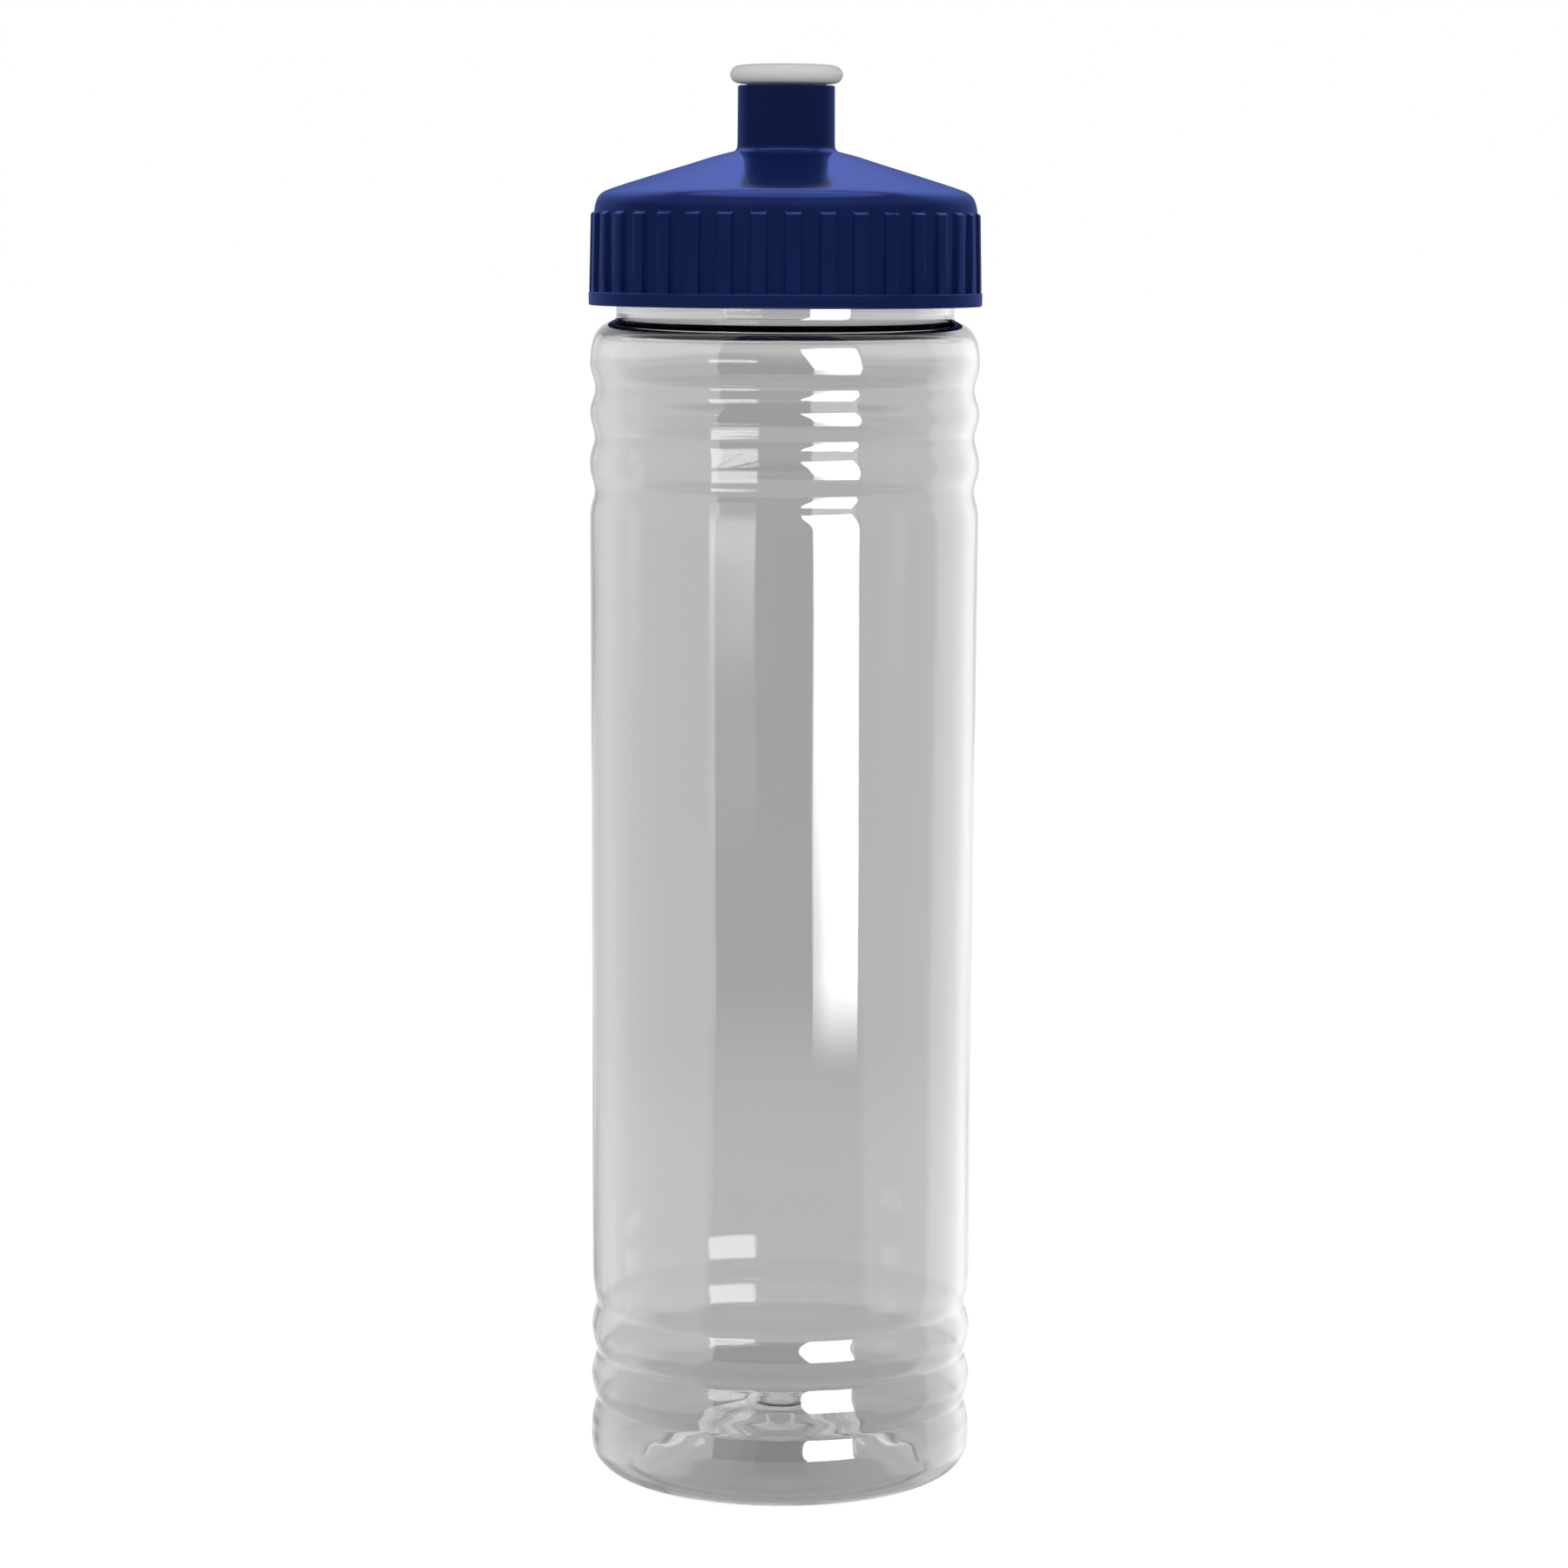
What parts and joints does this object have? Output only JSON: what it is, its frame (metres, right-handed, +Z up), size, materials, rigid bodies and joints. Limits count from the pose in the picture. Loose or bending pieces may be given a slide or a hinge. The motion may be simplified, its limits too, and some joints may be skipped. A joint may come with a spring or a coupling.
{
  "type": "sports squeeze bottle",
  "caption": "Tall clear plastic drink bottle with grip grooves, a ribbed screw-on lid and a push-pull drinking spout in a tube on the lid.",
  "frame": {"origin": "centre of the standing ring, on the surface the bottle stands on", "axes": "+Z up the common axis of bottle, lid and spout; -Y is the side seen in the picture; +X to the right of it"},
  "size_m": [0.07, 0.07, 0.2535],
  "materials": {
    "clear_plastic": "gloss",
    "gasket_rubber": "matte",
    "lid_plastic": "gloss",
    "post_plastic": "satin",
    "spout_plastic": "satin"
  },
  "bodies": {
    "bottle": {"bottle_body": "clear_plastic"},
    "gasket": {"lid_gasket": "gasket_rubber"},
    "lid": {"screw_lid": "lid_plastic", "valve_post": "post_plastic"},
    "spout": {"pull_spout": "spout_plastic"}
  },
  "joints": [
    {"name": "lid_lift", "type": "slide", "parent": "bottle", "child": "gasket", "axis": [0, 0, 1], "range_m": [0, 0.01751]},
    {"name": "lid_turn", "type": "hinge", "parent": "gasket", "child": "lid", "pos_m": [0, 0, 0.22], "axis": [0, 0, 1], "range_deg": [0, 1260]},
    {"name": "spout_slide", "type": "slide", "parent": "lid", "child": "spout", "axis": [0, 0, 1], "range_m": [0, 0.008]}
  ],
  "couplings": [
    {"joint": "lid_lift", "follows": "lid_turn", "m_per_rad": 0.00079577}
  ]
}
